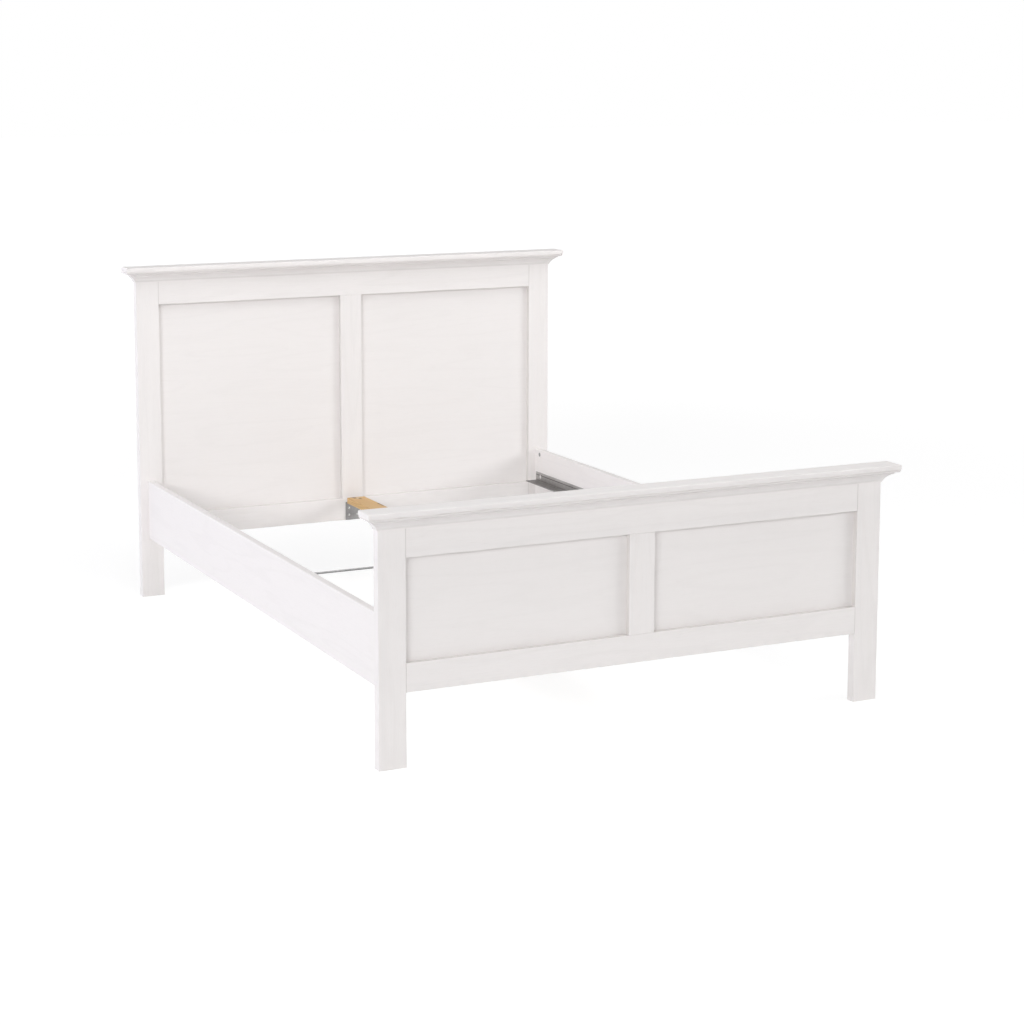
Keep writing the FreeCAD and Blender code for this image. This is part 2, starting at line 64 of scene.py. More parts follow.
FLAT_ANGLE = math.radians(0.5)
CORNER_ANGLE = math.radians(60)
SMOOTH_ANGLE = math.radians(50)
SHORTEST_OF_BOARD = 20.0 * MM
SHORTEST_OF_SHEET = 10.0 * MM
EDGE_LAYER = "edge"
RECESS_SHADE_LAYER = "recess"
MIX_A, MIX_B, MIX_RESULT = 6, 7, 2
SEEN_RAYS = ("Is Camera Ray", "Is Glossy Ray", "Is Transmission Ray")

Colour = tuple[float, float, float]
Triple = tuple[float, float, float]
Ring = tuple[float, float]
Mark = tuple[float, float]
Settings = Mapping[str, object] | None
Sockets = Mapping[str | int, object] | None

log = logging.getLogger("bed_frame")


class Run(Enum):
    """Way that the grain or the rolling marks of a piece run, as an axis of the frame."""

    CROSSWISE = 0
    LENGTHWISE = 1
    UPRIGHT = 2

    def factors(self, along: float, across: float) -> Triple:
        """Gives one factor for the axis along the run and another for the two across it."""
        return tuple(along if axis == self.value else across for axis in range(3))

    def stretch(self, mark: Mark) -> Triple:
        """Gives the scale at which one mark of a pattern has this length and width, in metres."""
        return self.factors(1 / mark[0], 1 / mark[1])


class Facing(Enum):
    """Way that the head of a fastener looks: to the middle of the bed, or up."""

    ACROSS = 0
    ALONG = 1
    UP = 2

    def outward(self, place: Vector) -> Vector:
        """Gives the unit vector out of the head of a fastener whose middle is at a place."""
        side = 1.0 if self is Facing.UP else -math.copysign(1.0, place[self.value])
        return Vector([side if axis == self.value else 0.0 for axis in range(3)])


# Shader maths


class Value:
    """A shader socket that is worked with as a Python number or vector."""

    def __init__(self, shader: "Shader", socket: NodeSocket) -> None:
        """Keeps the socket and the shader that new nodes go to."""
        self.shader = shader
        self.socket = socket

    def _math(self, operation: str, *terms: "Value | float") -> "Value":
        """Adds one Math node with these terms."""
        return self.shader.value("Math", {"operation": operation}, dict(enumerate(terms)))

    def __add__(self, other: "Value | float") -> "Value":
        """Adds."""
        return self._math("ADD", self, other)

    def __radd__(self, other: float) -> "Value":
        """Adds to a number."""
        return self._math("ADD", other, self)

    def __sub__(self, other: "Value | float") -> "Value":
        """Subtracts."""
        return self._math("SUBTRACT", self, other)

    def __rsub__(self, other: float) -> "Value":
        """Subtracts from a number."""
        return self._math("SUBTRACT", other, self)

    def __mul__(self, other: "Value | float") -> "Value":
        """Multiplies."""
        return self._math("MULTIPLY", self, other)

    def __rmul__(self, other: float) -> "Value":
        """Multiplies a number."""
        return self._math("MULTIPLY", other, self)

    def sine(self) -> "Value":
        """Gives the sine."""
        return self._math("SINE", self)

    def fraction(self) -> "Value":
        """Gives what stands after the decimal point."""
        return self._math("FRACT", self)

    def larger(self, other: "Value | float") -> "Value":
        """Gives the larger of the two."""
        return self._math("MAXIMUM", self, other)

    def ramp(self, low: float, high: float) -> "Value":
        """Rises smoothly from 0 at low to 1 at high."""
        sockets = {"Value": self, "From Min": low, "From Max": high}
        return self.shader.value("MapRange", {"interpolation_type": "SMOOTHSTEP"}, sockets)

    def _vector(self, operation: str, other: "Value | Triple") -> "Value":
        """Adds one Vector Math node with another vector."""
        return self.shader.value("VectorMath", {"operation": operation}, {0: self, 1: other})

    def minus_point(self, point: Triple) -> "Value":
        """Gives the vector from a point."""
        return self._vector("SUBTRACT", point)

    def scaled(self, scale: Triple) -> "Value":
        """Multiplies a vector axis by axis."""
        return self._vector("MULTIPLY", scale)

    def moved(self, other: "Value") -> "Value":
        """Adds a vector."""
        return self._vector("ADD", other)

    def length(self) -> "Value":
        """Gives the length of a vector."""
        return self.shader.value("VectorMath", {"operation": "LENGTH"}, {0: self}, "Value")


class Shader:
    """The node tree of one material or of the world."""

    def __init__(self, owner: Material | World) -> None:
        """Empties the node tree.

        Args:
            owner: Material or world that the tree belongs to.
        """
        owner.use_nodes = True
        self.owner = owner
        self.tree = owner.node_tree
        self.tree.nodes.clear()

    def node(self, kind: str, settings: Settings = None, sockets: Sockets = None) -> Node:
        """Adds a node.

        Args:
            kind: Type of the node, without the word ShaderNode.
            settings: Properties of the node, set first.
            sockets: Values of its input sockets, or what is linked to them.

        Returns:
            The new node.
        """
        made = self.tree.nodes.new(f"ShaderNode{kind}")
        for name, setting in (settings or {}).items():
            setattr(made, name, setting)
        for key, content in (sockets or {}).items():
            if isinstance(content, Value):
                self.tree.links.new(content.socket, made.inputs[key])
            else:
                made.inputs[key].default_value = content
        return made

    def value(
        self, kind: str, settings: Settings = None, sockets: Sockets = None, output: str | int = 0
    ) -> Value:
        """Adds a node and gives one of its outputs, ready for more maths."""
        return Value(self, self.node(kind, settings, sockets).outputs[output])

    @cached_property
    def places(self) -> Value:
        """Object coordinates, which are places in the frame in metres."""
        return self.value("TexCoord", output="Object")

    def noise(self, scale: Triple, detail: float, roughness: float = 0.5) -> Value:
        """Adds smooth noise of about 0.3 to 0.7 over the scaled places."""
        sockets = {"Scale": 1.0, "Detail": detail, "Roughness": roughness}
        return self.value("TexNoise", None, {"Vector": self.places.scaled(scale), **sockets})

    def wander(self, scale: Triple) -> Value:
        """Adds a slowly changing vector of up to about half a unit each way."""
        sockets = {"Vector": self.places.scaled(scale), "Scale": 1.0, "Detail": 1.0}
        return self.value("TexNoise", None, sockets, "Color").minus_point((0.5,) * 3)

    def marked(self, layer: str) -> Value:
        """Gives 1 on the faces of a piece that this layer marks and 0 elsewhere."""
        return self.value("Attribute", {"attribute_name": layer}, None, "Fac")

    def watched(self) -> Value:
        """Tells what the camera sees from what only lights the room.

        Returns:
            1 for what is seen, also in metal and through glass, and 0 elsewhere.
        """
        rays = self.node("LightPath")
        camera, glossy, clear = [Value(self, rays.outputs[name]) for name in SEEN_RAYS]
        return camera.larger(glossy).larger(clear)

    def mixed(self, share: Value, first: "Value | Colour", second: "Value | Colour") -> Value:
        """Mixes two colours by the share of the second."""
        a, b = [part if isinstance(part, Value) else (*part, 1.0) for part in (first, second)]
        return self.value("Mix", {"data_type": "RGBA"}, {0: share, MIX_A: a, MIX_B: b}, MIX_RESULT)

    def finished(
        self, colour: Value, roughness: Value, height: Value, depth: float, **fixed: float
    ) -> Material:
        """Ends the material with a principled shader.

        Args:
            colour: Base colour.
            roughness: Roughness.
            height: Height of the relief, from 0 to 1.
            depth: What a height of 1 stands for, in metres.
            fixed: Other sockets, which are the same all over.

        Returns:
            The material.
        """
        normal = self.value("Bump", None, {"Height": height, "Distance": depth})
        sockets = {"Base Color": colour, "Roughness": roughness, "Normal": normal, **fixed}
        self.node("OutputMaterial", None, {"Surface": self.value("BsdfPrincipled", None, sockets)})
        return self.owner


# Finishes


@dataclass(frozen=True)
class LevelLine:
    """Line at one height, where painted shade darkens a surface."""

    height: float
    reach: float
    amount: float
    core_share: float = 0.3

    def mark(self, shader: Shader) -> Value:
        """Gives the amount at the line's height, falling to 0 at its reach."""
        away = shader.places.minus_point((0.0, 0.0, self.height)).scaled((0.0, 0.0, 1.0)).length()
        return (1.0 - away.ramp(self.core_share * self.reach, self.reach)) * self.amount


@dataclass(frozen=True)
class PaintedGrain:
    """White satin finish over embossed grain."""

    name: str
    run: Run
    colour: Colour = (0.87, 0.84, 0.83)
    groove_and_shade_colour: Colour = (0.72, 0.69, 0.675)
    relief: float = 1.0
    streak: Mark = (0.15, 0.0055)
    pore: Mark = (0.034, 0.0012)
    figure: Mark = (0.75, 0.085)
    figure_lines: float = 34.0
    tone_patch: float = 0.55
    pore_share: float = 0.30
    figure_share: float = 0.16
    streak_share: float = 0.42
    streak_level: float = 0.62
    groove_dirt: float = 0.55
    tone_swing: float = 0.10
    least_dirt: float = 0.02
    recess_shade: float = 0.85
    shade_lines: tuple[LevelLine, ...] = ()
    roughness: float = 0.46
    sheen: float = 0.35
    depth: float = 0.16 * MM

    def make(self) -> Material:
        """Builds the finish.

        Returns:
            The material.
        """
        shader = Shader(bpy.data.materials.new(self.name))
        streaks = shader.noise(self.run.stretch(self.streak), 3.0, 0.6)
        pores = shader.noise(self.run.stretch(self.pore), 1.0).ramp(0.58, 0.70)
        flow = shader.noise(self.run.stretch(self.figure), 1.5, 0.45)
        rings = (flow * self.figure_lines + streaks * 1.4).sine().ramp(0.45, 1.0)
        tone = shader.noise((1 / self.tone_patch,) * 3, 2.0)
        grooves = pores * self.pore_share + rings * self.figure_share
        grooves = grooves + (self.streak_level - streaks).larger(0.0) * self.streak_share
        grain_and_shade = grooves * self.relief * self.groove_dirt + (tone - 0.5) * self.tone_swing
        # Painted shade: the walls round the panels and the seams between the boards are darkened.
        grain_and_shade = grain_and_shade + self.least_dirt + shader.marked(RECESS_SHADE_LAYER) * self.recess_shade
        # Painted shade along given heights, such as near the foot of a cove.
        for line in self.shade_lines:
            grain_and_shade = grain_and_shade + line.mark(shader)
        colour = shader.mixed(grain_and_shade, self.colour, self.groove_and_shade_colour)
        roughness = self.roughness + streaks * 0.12 - shader.marked(EDGE_LAYER) * 0.08
        height = 1.0 - grooves * self.relief
        sheen = {"Specular IOR Level": self.sheen}
        return shader.finished(colour, roughness, height, self.depth, **sheen)


@dataclass(frozen=True)
class RolledSteel:
    """Dull zinc-plated sheet with rolling marks, soft spangle and bright cut edges."""

    name: str
    run: Run
    colour: Colour = (0.390, 0.382, 0.380)
    dull_colour: Colour = (0.255, 0.248, 0.246)
    cut_colour: Colour = (0.46, 0.46, 0.45)
    painted_shade_colour: Colour = (0.10, 0.095, 0.09)
    shade_lines: tuple[LevelLine, ...] = ()
    mark: Mark = (0.20, 0.0011)
    spangle_size: float = 0.011
    stain_size: float = 0.07
    mark_swing: float = 0.80
    spangle_share: float = 0.30
    stain_share: float = 0.55
    cut_share: float = 0.80
    roughness: float = 0.36
    depth: float = 0.03 * MM

    def make(self) -> Material:
        """Builds the finish.

        Returns:
            The material.
        """
        shader = Shader(bpy.data.materials.new(self.name))
        marks = shader.noise(self.run.stretch(self.mark), 2.0)
        where = {"Vector": shader.places.scaled((1 / self.spangle_size,) * 3), "Scale": 1.0}
        spangle = shader.value("TexVoronoi", {"feature": "F1"}, where, "Distance")
        stains = shader.noise((1 / self.stain_size,) * 3, 3.0).ramp(0.38, 0.68)
        dull = stains * self.stain_share + spangle * self.spangle_share
        dull = dull + (marks - 0.5) * self.mark_swing
        colour = shader.mixed(dull, self.colour, self.dull_colour)
        colour = shader.mixed(shader.marked(EDGE_LAYER) * self.cut_share, colour, self.cut_colour)
        # Painted shade along given heights, such as under the ledge's rib and along its bend.
        for line in self.shade_lines:
            colour = shader.mixed(line.mark(shader), colour, self.painted_shade_colour)
        roughness = self.roughness + stains * 0.10 + (marks - 0.5) * 0.25
        height = marks * 0.7 + spangle * 0.3
        return shader.finished(colour, roughness, height, self.depth, Metallic=1.0)


@dataclass(frozen=True)
class SmallMetal:
    """Metal of the small fixings: plated, cast or blackened, with a fine uneven skin."""

    name: str
    colour: Colour
    dark_colour: Colour
    roughness: float
    grit_size: float
    blush_to_grit: float = 14.0
    depth: float = 0.02 * MM

    def make(self) -> Material:
        """Builds the finish.

        Returns:
            The material.
        """
        shader = Shader(bpy.data.materials.new(self.name))
        blush_size = self.grit_size * self.blush_to_grit
        grit = shader.noise((1 / self.grit_size,) * 3, 3.0, 0.6)
        blush = shader.noise((1 / blush_size,) * 3, 2.0).ramp(0.35, 0.7)
        colour = shader.mixed(grit * 0.6 + blush * 0.4, self.colour, self.dark_colour)
        roughness = self.roughness + (grit - 0.5) * 0.3 + blush * 0.06
        return shader.finished(colour, roughness, grit, self.depth, Metallic=1.0)


@dataclass(frozen=True)
class BareTimber:
    """Planed softwood with year rings round a pith outside the piece, pores and knots."""

    name: str
    run: Run
    pith: Triple
    early_colour: Colour = (0.665, 0.435, 0.190)
    late_colour: Colour = (0.50, 0.285, 0.105)
    knot_colour: Colour = (0.16, 0.070, 0.028)
    ring_width: float = 0.0042
    wander_size: Mark = (0.42, 0.07)
    wander_reach: float = 0.032
    pore: Mark = (0.022, 0.0007)
    tone_patch: Mark = (0.3, 0.05)
    late_share: float = 0.62
    pore_share: float = 0.16
    tone_swing: float = 0.90
    knots: tuple[Triple, ...] = ()
    knot_radius: float = 0.014
    knot_squeeze: float = 0.55
    knot_waver: float = 0.01
    knot_rings: float = 3.5
    roughness: float = 0.58
    depth: float = 0.10 * MM

    def make(self) -> Material:
        """Builds the finish.

        Returns:
            The material.
        """
        shader = Shader(bpy.data.materials.new(self.name))
        sway = shader.wander(self.run.stretch(self.wander_size))
        swayed = shader.places.moved(sway.scaled((self.wander_reach,) * 3)).minus_point(self.pith)
        rings = swayed.scaled(self.run.factors(0.0, 1.0)).length() * (1 / self.ring_width)
        eyes = self._knots(shader.places.moved(sway.scaled((self.knot_waver,) * 3)))
        part = (rings + eyes * self.knot_rings).fraction()
        late = part.ramp(0.25, 0.85) - part.ramp(0.90, 1.0)
        pores = shader.noise(self.run.stretch(self.pore), 1.0).ramp(0.55, 0.75)
        tone = shader.noise(self.run.stretch(self.tone_patch), 2.0)
        dark = late * self.late_share + pores * self.pore_share + (tone - 0.5) * self.tone_swing
        colour = shader.mixed(dark, self.early_colour, self.late_colour)
        colour = shader.mixed(eyes.ramp(0.30, 0.75) * 0.9, colour, self.knot_colour)
        roughness = self.roughness + pores * 0.10 - late * 0.10
        return shader.finished(colour, roughness, late * 0.6 - pores * 0.4, self.depth)

    def _knots(self, wavering: Value) -> Value:
        """Marks the knots.

        Args:
            wavering: Places moved a little, which keeps the knots from being round.

        Returns:
            1 in the middle of a knot, falling to 0 round it.
        """
        eyes = wavering.length() * 0.0
        for knot in self.knots:
            away = wavering.minus_point(knot).scaled(self.run.factors(self.knot_squeeze, 1.0))
            eyes = eyes.larger(1.0 - away.length() * (1 / self.knot_radius))
        return eyes


@dataclass(frozen=True)
class MouldedPlastic:
    """Dark moulded plastic with a fine spark-eroded skin."""

    name: str
    colour: Colour = (0.16, 0.16, 0.16)
    scuffed_colour: Colour = (0.26, 0.255, 0.25)
    grain_size: float = 0.0007
    scuff_scale: Triple = (160.0, 160.0, 30.0)
    roughness: float = 0.50
    depth: float = 0.05 * MM

    def make(self) -> Material:
        """Builds the finish.

        Returns:
            The material.
        """
        shader = Shader(bpy.data.materials.new(self.name))
        grain = shader.noise((1 / self.grain_size,) * 3, 2.0)
        scuffs = shader.noise(self.scuff_scale, 3.0).ramp(0.52, 0.7)
        colour = shader.mixed(scuffs * 0.5, self.colour, self.scuffed_colour)
        roughness = self.roughness + grain * 0.15 + scuffs * 0.10
        return shader.finished(colour, roughness, grain, self.depth)


# Mesh making


def in_scene(data: ID) -> Object:
    """Adds an object to the scene.

    Args:
        data: Mesh, lamp or camera that gives the object its name.

    Returns:
        The object.
    """
    made = bpy.data.objects.new(data.name, data)
    bpy.context.scene.collection.objects.link(made)
    return made


def mesh_of(shape: BMesh, name: str) -> Mesh:
    """Turns a shape into a mesh and frees it.

    Args:
        shape: Finished shape.
        name: Name of the mesh.

    Returns:
        The mesh.
    """
    mesh = bpy.data.meshes.new(name)
    shape.to_mesh(mesh)
    shape.free()
    return mesh


def turned(profile: Sequence[Ring], steps: int = TURNING_STEPS, closed: bool = False) -> BMesh:
    """Turns a profile round the Z axis, as on a lathe.

    Args:
        profile: Radius and height of each point.
        steps: Steps of the full turn.
        closed: Whether the profile is a ring, as for a nut with its hole.

    Returns:
        The turned shape.
    """
    shape = bmesh.new()
    points = [shape.verts.new((radius, 0.0, height)) for radius, height in profile]
    pairs = list(zip(points, points[1:]))
    if closed:
        pairs.append((points[-1], points[0]))
    outline = points + [shape.edges.new(pair) for pair in pairs]
    axis, middle = (0, 0, 1), (0, 0, 0)
    bmesh.ops.spin(
        shape, geom=outline, axis=axis, cent=middle, angle=FULL_TURN, steps=steps, use_merge=True
    )
    bmesh.ops.remove_doubles(shape, verts=shape.verts, dist=MERGE_DISTANCE)
    bmesh.ops.recalc_face_normals(shape, faces=shape.faces)
    return shape


def thread(start: float, end: float, pitch: float, turn: Sequence[Ring]) -> list[Ring]:
    """Repeats the rings of one turn of a thread.

    Args:
        start: Depth at which the thread starts.
        end: Depth past which no turn starts.
        pitch: Length of a turn.
        turn: Radius of each ring of a turn, and its place as a share of the pitch.

    Returns:
        Radius and height of each ring.
    """
    rings = []
    depth = start
    while depth < end:
        rings += [(radius, -depth - share * pitch) for radius, share in turn]
        depth += pitch
    return rings


def both_ends(upper: list[Ring], length: float) -> list[Ring]:
    """Adds the mirror image of the upper rings, so that the whole has this length."""
    return upper + [(radius, -length - height) for radius, height in reversed(upper)]


def make_hexagonal(shape: BMesh, ring_radius: float, across_flats: float) -> None:
    """Moves the points of one turned radius onto a hexagon.

    Args:
        shape: Turned shape.
        ring_radius: Radius of the points that are moved.
        across_flats: Width of the hexagon across its flats.
    """
    side = FULL_TURN / HEX_SIDES
    for vert in shape.verts:
        radius = vert.co.xy.length
        if abs(radius - ring_radius) < MERGE_DISTANCE:
            angle = math.atan2(vert.co.y, vert.co.x) % side - side / 2
            vert.co.xy *= across_flats / 2 / math.cos(angle) / radius


def drawn_down(shape: BMesh, rings: Sequence[Ring]) -> BMesh:
    """Carries the round rim of an open shape down through rings and closes the end.

    Args:
        shape: Shape with one open rim round the Z axis.
        rings: Radius and height of each new ring.

    Returns:
        The same shape.
    """
    rim = [edge for edge in shape.edges if edge.is_boundary]
    for radius, height in rings:
        made = bmesh.ops.extrude_edge_only(shape, edges=rim)["geom"]
        for vert in (item for item in made if isinstance(item, BMVert)):
            vert.co = (*(vert.co.xy.normalized() * radius), height)
        rim = [item for item in made if isinstance(item, BMEdge)]
    bmesh.ops.holes_fill(shape, edges=rim, sides=0)
    bmesh.ops.recalc_face_normals(shape, faces=shape.faces)
    return shape


def crossed_top(radius: float, dome: float, depth: float) -> BMesh:
    """Makes the domed top of a head with a tapered cross recess.

    Args:
        radius: Radius of the head.
        dome: Height of its middle over its rim.
        depth: Depth of the recess.

    Returns:
        The open top with its middle on the origin.
    """
    cells = 7
    line_shares = {1: 0.14, 3: 0.34, 5: 0.60, 7: 1.0}
    slot = 0.15 * radius
    reach = 0.62 * radius
    shape = bmesh.new()
    bmesh.ops.create_grid(shape, x_segments=cells, y_segments=cells, size=1.0)
    for vert in shape.verts:
        flat = [math.copysign(line_shares[round(abs(c) * cells)], c) for c in vert.co.xy]
        x = flat[0] * math.sqrt(1 - flat[1] ** 2 / 2)
        y = flat[1] * math.sqrt(1 - flat[0] ** 2 / 2)
        vert.co = (x * radius, y * radius, -dome * (x * x + y * y))
    cross = []
    for face in shape.faces:
        near, far = sorted(abs(c) for c in face.calc_center_median().xy)
        if near < slot and far < reach:
            cross.append(face)
    sunk = bmesh.ops.extrude_face_region(shape, geom=cross)["geom"]
    for vert in (item for item in sunk if isinstance(item, BMVert)):
        vert.co.xy *= 1 - 0.45 * min(1.0, vert.co.xy.length / reach)
        vert.co.z -= depth * (1.15 - 0.5 * vert.co.xy.length / reach)
    return shape


@dataclass(frozen=True)
class Solid:
    """Middle and size of one separate solid of a node."""

    middle: Vector
    size: Vector

    def frame_at(self, facing: Facing) -> tuple[Matrix, float]:
        """Finds how a fastener that is made with its top on the origin goes into place.

        Args:
            facing: Way that its head looks.

        Returns:
            The matrix from the maker's bench to the frame, and the fastener's length.
        """
        outward = facing.outward(self.middle)
        length = abs(self.size.dot(outward))
        turn = outward.to_track_quat("Z", "Y").to_matrix().to_4x4()
        return Matrix.Translation(self.middle + outward * (length / 2)) @ turn, length


def merged_copy(node: str) -> BMesh:
    """Copies a node's mesh with its loose triangles joined.

    Args:
        node: Name of the node.

    Returns:
        The copy.
    """
    shape = bmesh.new()
    shape.from_mesh(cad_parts[node].data)
    bmesh.ops.remove_doubles(shape, verts=shape.verts, dist=MERGE_DISTANCE)
    return shape


def solids_of(node: str) -> list[Solid]:
    """Finds the separate solids of a node.

    Args:
        node: Name of the node.

    Returns:
        The solids, in the order of their places.
    """
    shape = merged_copy(node)
    left = set(shape.verts)
    found = []
    while left:
        reached = [left.pop()]
        for vert in reached:
            near = {edge.other_vert(vert) for edge in vert.link_edges} & left
            left -= near
            reached.extend(near)
        low = Vector([min(vert.co[axis] for vert in reached) for axis in range(3)])
        high = Vector([max(vert.co[axis] for vert in reached) for axis in range(3)])
        found.append(Solid((low + high) / 2, high - low))
    shape.free()
    return sorted(found, key=lambda solid: tuple(round(c, 4) for c in solid.middle))


def cut_level(shape: BMesh, height: float) -> None:
    """Adds edges all round a shape at one height."""
    everything = [*shape.verts, *shape.edges, *shape.faces]
    bmesh.ops.bisect_plane(
        shape, geom=everything, dist=MERGE_DISTANCE, plane_co=(0, 0, height), plane_no=(0, 0, 1)
    )


@dataclass(frozen=True)
class Opening:
    """Opening between the boards of an end, with the seams of the boards above and below it."""

    low: Vector
    high: Vector
    lowest_seam: float
    margin: float = 2.0 * MM

    def work(self, shape: BMesh) -> None:
        """Marks the walls and the seams on a board, which get painted shade.

        Args:
            shape: Board at the opening.
        """
        heights = [vert.co.z for vert in shape.verts]
        for height in (self.lowest_seam, self.low.z, self.high.z):
            if min(heights) + MM < height < max(heights) - MM:
                cut_level(shape, height)
        shape.normal_update()
        layer = shape.faces.layers.float.new(RECESS_SHADE_LAYER)
        for face in shape.faces:
            middle = face.calc_center_median()
            across = self.low.x - self.margin < middle.x < self.high.x + self.margin
            upright = self.low.z - self.margin < middle.z < self.high.z + self.margin
            beside = min(abs(middle.x - self.low.x), abs(middle.x - self.high.x)) < self.margin
            wall = across and upright and abs(face.normal.y) < 0.5
            seam = beside and middle.z > self.lowest_seam and -0.99 < face.normal.y < -0.1
            if wall or (seam and not upright):
                face[layer] = 1.0


@dataclass(frozen=True)
class Quirk:
    """Fine groove along the front and the ends of a board."""

    drop: float = 13.3 * MM
    width: float = 2.4 * MM
    depth: float = 2.2 * MM
    wall: float = 0.2 * MM

    def work(self, shape: BMesh) -> None:
        """Sinks the groove into a board.

        Args:
            shape: Board with its front to the foot of the bed.
        """
        upper = max(vert.co.z for vert in shape.verts) - self.drop
        lower = upper - self.width
        for height in (upper, upper - self.wall, lower + self.wall, lower):
            cut_level(shape, height)
        front = min(vert.co.y for vert in shape.verts)
        end = max(vert.co.x for vert in shape.verts)
        for vert in shape.verts:
            if lower + self.wall / 2 < vert.co.z < upper - self.wall / 2:
                if vert.co.y < front + self.depth:
                    vert.co.y += self.depth
                if abs(vert.co.x) > end - self.depth:
                    vert.co.x -= math.copysign(self.depth, vert.co.x)
        shape.normal_update()


class Workshop:
    """Turns shapes into pieces of the bed and dresses them."""

    def __init__(self, finishes: Mapping[str, Material]) -> None:
        """Keeps the finishes by name, and the names of the pieces that are made or dressed."""
        self.finishes = finishes
        self.pieces: list[str] = []

    def slot_of(self, node: str) -> str:
        """Gives the record's material slot of a node."""
        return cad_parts[node].data.materials[0].name.split(".")[0]

    def dress(self, node: str, finish: str | None = None) -> None:
        """Gives a node that stays its finish, which is named if it isn't the slot's own."""
        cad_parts[node].material_slots[0].material = self.finishes[finish or self.slot_of(node)]
        self.pieces.append(node)

    def piece(self, name: str, shape: BMesh, node: str, finish: str | None = None) -> Object:
        """Makes a shape a piece of the bed that stands for a node.

        Args:
            name: Name of the piece.
            shape: Finished shape in the frame.
            node: Node that the piece replaces.
            finish: Its finish, if it isn't the slot's own.

        Returns:
            The new object.
        """
        slot = self.slot_of(node)
        for face in shape.faces:
            face.smooth = True
        for edge in shape.edges:
            if edge.is_manifold and edge.calc_face_angle() > SMOOTH_ANGLE:
                edge.smooth = False
        mesh = mesh_of(shape, name)
        mesh.materials.append(self.finishes[finish or slot])
        made = in_scene(mesh)
        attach(made, BODY)
        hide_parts(node)
        self.pieces.append(name)
        return made

    def eased(
        self,
        node: str,
        width: float,
        finish: str | None = None,
        shortest: float = SHORTEST_OF_BOARD,
        detail: Opening | Quirk | None = None,
    ) -> None:
        """Stands for a node with a copy whose long outer edges are rounded.

        Args:
            node: Name of the node.
            width: Width that the rounding takes from each face.
            finish: Its finish, if it isn't the slot's own.
            shortest: Shortest edge that is rounded.
            detail: Opening that the node borders on, or groove that runs round it.
        """
        shape = merged_copy(node)
        bmesh.ops.dissolve_limit(shape, angle_limit=FLAT_ANGLE, verts=shape.verts, edges=shape.edges)
        outer = [edge for edge in shape.edges if edge.is_manifold and edge.is_convex]
        sharp = [edge for edge in outer if edge.calc_face_angle() > CORNER_ANGLE]
        layer = shape.faces.layers.float.new(EDGE_LAYER)
        long = [edge for edge in sharp if edge.calc_length() > shortest]
        rounded = bmesh.ops.bevel(
            shape, geom=long, offset=width, offset_type="OFFSET", affect="EDGES", segments=2,
            profile=0.5, material=-1, clamp_overlap=True,
        )
        for face in rounded["faces"]:
            face[layer] = 1.0
        for edge in shape.edges:
            if edge.calc_length() < 2 * width and all(face[layer] for face in edge.link_faces):
                edge.smooth = False
        if detail:
            detail.work(shape)
        made = self.piece(f"{node}_eased", shape, node, finish)
        if "custom_normal" in made.data.attributes:
            made.data.attributes.remove(made.data.attributes["custom_normal"])
        evened = made.modifiers.new("even_shading", "WEIGHTED_NORMAL")
        evened.keep_sharp = True

    def repeated(
        self, node: str, facing: Facing, make: Callable[[float], BMesh], finish: str | None = None
    ) -> None:
        """Stands for a node's separate solids with copies of one detailed shape.

        Args:
            node: Name of the node.
            facing: Way that the heads look.
            make: Makes one shape from its length, with its top on the origin.
            finish: Its finish, if it isn't the slot's own.
        """
        whole = bmesh.new()
        frames = [solid.frame_at(facing) for solid in solids_of(node)]
        single = mesh_of(make(frames[0][1]), f"{node}_single")
        for matrix, _ in frames:
            start = len(whole.verts)
            whole.from_mesh(single)
            whole.verts.ensure_lookup_table()
            bmesh.ops.transform(whole, matrix=matrix, verts=whole.verts[start:])
        bpy.data.meshes.remove(single)
        self.piece(f"{node}_detailed", whole, node, finish)


# Fasteners, each made with its top on the origin


@dataclass(frozen=True)
class WoodScrew:
    """Screw with a domed head, a cross recess and a pointed thread."""

    head_radius: float = 4.0 * MM
    head_height: float = 2.2 * MM
    rim_height: float = 0.9 * MM
    shank_radius: float = 1.55 * MM
    root_radius: float = 1.15 * MM
    pitch: float = 1.8 * MM
    recess_depth: float = 1.5 * MM
    top_round: float = 0.3 * MM
    under_round: float = 0.2 * MM

    def make(self, length: float) -> BMesh:
        """Builds the screw.

        Args:
            length: Whole length.

        Returns:
            The screw.
        """
        dome = self.head_height - self.rim_height - self.top_round
        shape = crossed_top(self.head_radius * 0.985, dome, self.recess_depth)
        rings = [
            (self.head_radius, -dome - self.top_round),
            (self.head_radius, -self.head_height + self.under_round),
            (self.head_radius - self.under_round, -self.head_height),
            (self.root_radius, -self.head_height - 0.05 * MM),
        ]
        turn = ((self.root_radius, 0.0), (self.shank_radius, 0.35), (self.root_radius, 0.55))
        rings += thread(self.head_height + self.pitch, length - 1.5 * self.pitch, self.pitch, turn)
        rings.append((0.25 * self.root_radius, -length))
        return drawn_down(shape, rings)


@dataclass(frozen=True)
class FlushScrew:
    """Countersunk screw that lies level with the timber."""

    head_radius: float = 4.6 * MM
    head_height: float = 4.2 * MM
    shank_radius: float = 2.3 * MM
    recess_depth: float = 1.9 * MM
    dome: float = 0.15 * MM
    rim_top: float = 0.35 * MM
    rim_foot: float = 0.55 * MM

    def make(self, length: float) -> BMesh:
        """Builds the screw.

        Args:
            length: Whole length.

        Returns:
            The screw.
        """
        shape = crossed_top(self.head_radius * 0.97, self.dome, self.recess_depth)
        rings = [
            (self.head_radius, -self.rim_top),
            (self.head_radius, -self.rim_foot),
            (self.shank_radius, -self.head_height),
            (self.shank_radius, -length + 2 * self.shank_radius),
            (self.shank_radius * 0.4, -length),
        ]
        return drawn_down(shape, rings)


